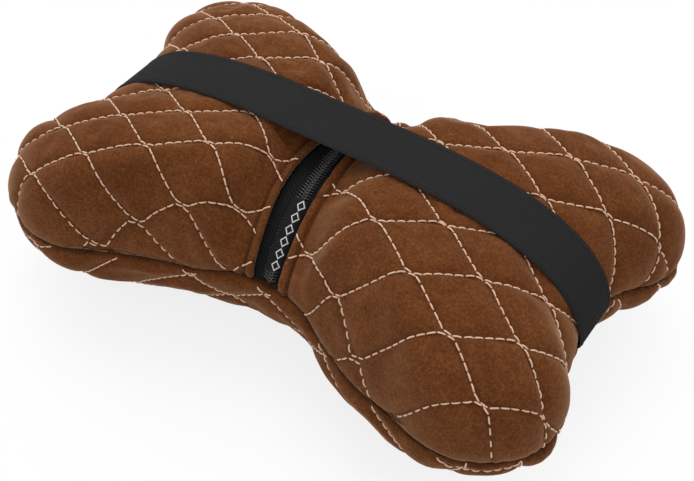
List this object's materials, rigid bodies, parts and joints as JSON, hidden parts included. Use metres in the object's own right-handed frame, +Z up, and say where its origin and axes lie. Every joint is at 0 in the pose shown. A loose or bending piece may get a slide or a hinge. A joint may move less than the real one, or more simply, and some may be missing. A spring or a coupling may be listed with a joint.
{
  "type": "car neck pillow",
  "caption": "Bone-shaped stuffed neck pillow with a diamond-quilted suede cover, a curved zip and an elastic headrest strap.",
  "frame": {"origin": "centre of the pillow's footprint, on the surface it lies on", "axes": "+X along the pillow's length, +Y along the zip towards its closed end, +Z up, out of the side with the strap"},
  "size_m": [0.2822, 0.1772, 0.0979],
  "materials": {
    "suede": "brushed brown suede cloth, quilted with beige thread",
    "lining": "plain white non-woven bag",
    "zip_tape": "woven black tape",
    "zip_coil": "satin black nylon",
    "enamel": "satin black enamel",
    "elastic": "ribbed black woven elastic",
    "label_satin": "smooth black satin"
  },
  "bodies": {
    "cover": {"back_panel_left": "suede", "back_panel_right": "suede", "front_panel": "suede", "inner_cushion": "lining", "zip_tape_left": "zip_tape", "zip_tape_right": "zip_tape", "zip_coil_left": "zip_coil", "zip_coil_right": "zip_coil", "elastic_strap": "elastic", "side_label": "label_satin"},
    "slider": {"zip_slider": "enamel"},
    "pull_tab": {"zip_pull_tab": "enamel"}
  },
  "joints": [
    {"name": "zip_travel", "type": "hinge", "parent": "cover", "child": "slider", "pos_m": [0, 0, 0.02322], "axis": [1, 0, 0], "range_deg": [0, 121], "deforming": ["zip_coil_left", "zip_coil_right", "side_label"]},
    {"name": "pull_tab_swing", "type": "hinge", "parent": "slider", "child": "pull_tab", "pos_m": [0, 0.05685, 0.05376], "axis": [1, 0, 0], "range_deg": [0, 170]}
  ]
}
